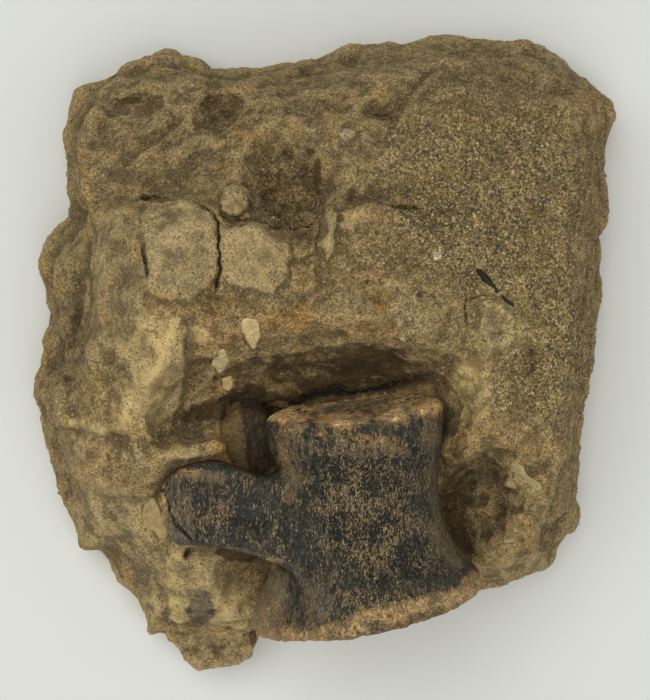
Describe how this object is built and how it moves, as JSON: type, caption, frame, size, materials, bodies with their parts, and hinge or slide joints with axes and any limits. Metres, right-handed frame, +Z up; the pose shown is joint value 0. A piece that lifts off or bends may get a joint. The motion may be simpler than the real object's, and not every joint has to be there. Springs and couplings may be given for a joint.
{
  "type": "fossil vertebra in matrix",
  "caption": "Spool-shaped fossil dinosaur vertebra with one flat transverse process, half prepared out of its sandstone block, as a still display model.",
  "frame": {"origin": "under the middle of the specimen's bounding box, on the plane it rests on", "axes": "+Z up, from the flat underside to the exposed bone; +Y along the bone from its tail end to its head end, as the picture shows it from above; +X to the right of that view"},
  "size_m": [0.149, 0.1642, 0.0651],
  "materials": {
    "fossil_bone": "dark mineralised bone, faintly polished, with rust-brown flecks along the grain and worn brown rims",
    "sandstone": "rough brown-olive medium sandstone, matt, with pale and rusty stains",
    "mudstone": "pale buff mudstone chips, matt",
    "carbon": "black carbonised plant film, slightly glossy"
  },
  "bodies": {
    "root": {"centrum": "fossil_bone", "transverse_process": "fossil_bone", "neural_arch_stump": "fossil_bone", "matrix_block": "sandstone", "matrix_lower_slab": "sandstone", "pebble": "mudstone", "clast_ridge": "mudstone", "clast_recess_upper": "mudstone", "clast_recess_lower": "mudstone", "clast_lower_right": "mudstone", "clast_process_tip": "mudstone", "plant_fragment": "carbon"}
  },
  "joints": []
}
